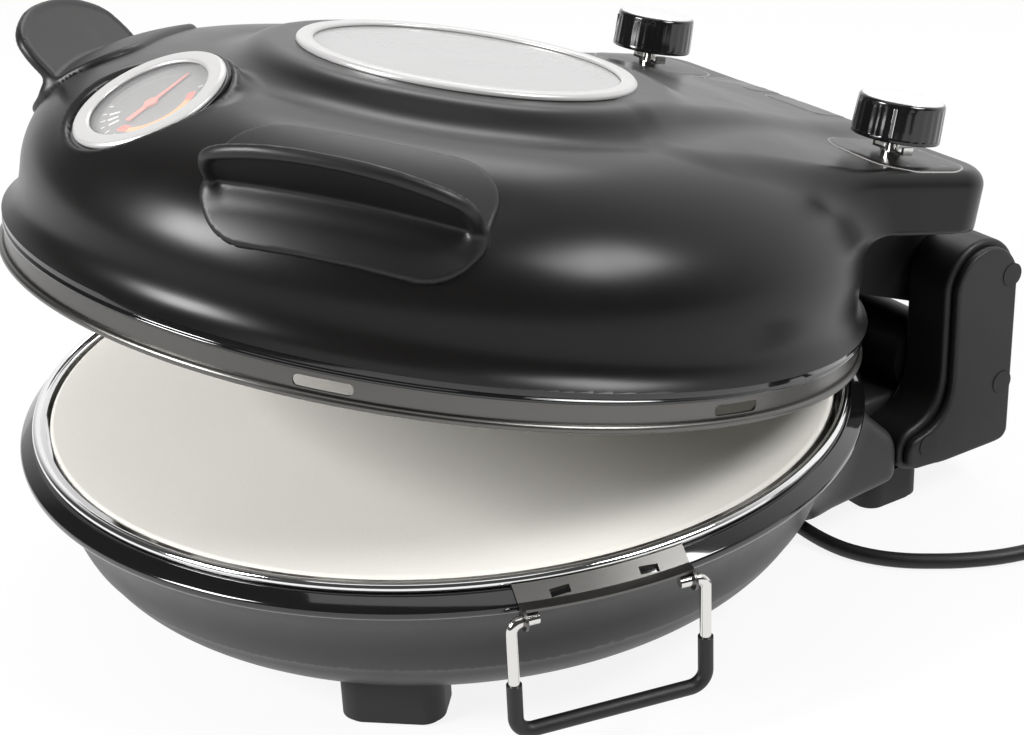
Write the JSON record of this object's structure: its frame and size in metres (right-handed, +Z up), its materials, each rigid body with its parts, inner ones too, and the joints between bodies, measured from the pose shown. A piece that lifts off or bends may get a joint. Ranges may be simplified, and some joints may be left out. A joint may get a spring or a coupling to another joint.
{
  "type": "electric pizza maker",
  "caption": "Countertop pizza maker: round stone in a bowl base, domed lid on a rear hinge with top window, dial gauge, rear knobs, lip handles and side bails.",
  "frame": {"origin": "on the table, at the middle of the appliance's footprint without the cord", "axes": "+Z up, -Y towards the gauge at the front, +Y towards the hinge, +X to the appliance's right-hand side seen from behind the gauge looking to the hinge"},
  "size_m": [0.4698, 0.4445, 0.2248],
  "materials": {
    "dome_paint": "satin",
    "charcoal": "matte",
    "bowl_grey": "satin",
    "rim_black": "gloss",
    "stainless": "satin",
    "tray_chrome": "polished",
    "stone": "matte",
    "reflector": "satin",
    "element": "satin",
    "spring_wire": "satin",
    "ceramic": "glazed",
    "foot_rubber": "matte",
    "cord_black": "satin",
    "plug_black": "satin",
    "window_glass": "clear",
    "gauge_glass": "clear",
    "dial_face": "matte",
    "needle": "matte",
    "knob_black": "gloss",
    "dial_black": "satin",
    "lamp_lens": "gloss",
    "lamp_amber": "gloss",
    "gasket": "matte"
  },
  "bodies": {
    "base": {"base_bowl": "bowl_grey", "base_rim": "rim_black", "tray_ring": "tray_chrome", "pizza_stone": "stone", "base_reflector": "reflector", "lower_element": "element", "lower_element_supports": "stainless", "bottom_cover": "charcoal", "foot_front_left": "foot_rubber", "foot_front_right": "foot_rubber", "foot_rear_left": "foot_rubber", "foot_rear_right": "foot_rubber", "base_screws": "stainless", "hinge_tower_left": "charcoal", "hinge_tower_right": "charcoal", "tower_cover_left": "bowl_grey", "tower_cover_right": "bowl_grey", "tower_screw_caps": "charcoal", "hinge_cross_member": "bowl_grey", "hinge_pins": "stainless", "hinge_washers": "charcoal", "terminal_block": "ceramic", "thermal_cutout": "stainless", "bail_bracket_left": "stainless", "bail_bracket_right": "stainless", "strain_relief": "plug_black", "cord": "cord_black", "cord_coil": "cord_black", "plug": "plug_black", "cord_tie": "plug_black"},
    "lid": {"lid_shell": "dome_paint", "lid_band": "rim_black", "lid_skirt": "stainless", "lid_reflector": "reflector", "upper_element": "element", "upper_element_clips": "stainless", "lid_neck": "charcoal", "deck_floor_plate": "charcoal", "deck_screws": "stainless", "window_glass": "window_glass", "window_bezel": "stainless", "window_gasket": "gasket", "gauge_case": "charcoal", "gauge_bezel": "stainless", "gauge_dial": "dial_face", "gauge_lens": "gauge_glass", "handle_left": "charcoal", "handle_right": "charcoal", "thermostat": "stainless", "timer": "stainless", "dial_plates": "dial_black", "indicator_lenses": "lamp_lens", "pilot_lamps": "lamp_amber"},
    "thermostat_knob": {"thermostat_knob": "knob_black"},
    "timer_knob": {"timer_knob": "knob_black"},
    "gauge_needle": {"gauge_needle": "needle"},
    "bail_left": {"bail_left": "spring_wire", "bail_sleeve_left": "cord_black"},
    "bail_right": {"bail_right": "spring_wire", "bail_sleeve_right": "cord_black"}
  },
  "joints": [
    {"name": "lid_hinge", "type": "hinge", "parent": "base", "child": "lid", "pos_m": [0, 0.174, 0.094], "axis": [-1, 0, 0], "range_deg": [-13, 77]},
    {"name": "thermostat_knob_turn", "type": "hinge", "parent": "lid", "child": "thermostat_knob", "pos_m": [0.08, 0.13824, 0.16137], "axis": [0, 0.225, 0.9744], "range_deg": [-270, 0]},
    {"name": "timer_knob_turn", "type": "hinge", "parent": "lid", "child": "timer_knob", "pos_m": [-0.08, 0.13824, 0.16137], "axis": [0, 0.225, 0.9744], "range_deg": [-330, 0]},
    {"name": "gauge_needle_turn", "type": "hinge", "parent": "lid", "child": "gauge_needle", "pos_m": [0, -0.13515, 0.21525], "axis": [0, -0.342, 0.9397], "range_deg": [-220, 0], "stiffness_Nm_per_rad": 0.0005},
    {"name": "bail_left_swing", "type": "hinge", "parent": "base", "child": "bail_left", "pos_m": [-0.16482, -0.06103, 0.0664], "axis": [-0.2079, 0.9781, 0], "range_deg": [0, 165]},
    {"name": "bail_right_swing", "type": "hinge", "parent": "base", "child": "bail_right", "pos_m": [0.16482, -0.06103, 0.0664], "axis": [-0.2079, -0.9781, 0], "range_deg": [0, 165]}
  ]
}
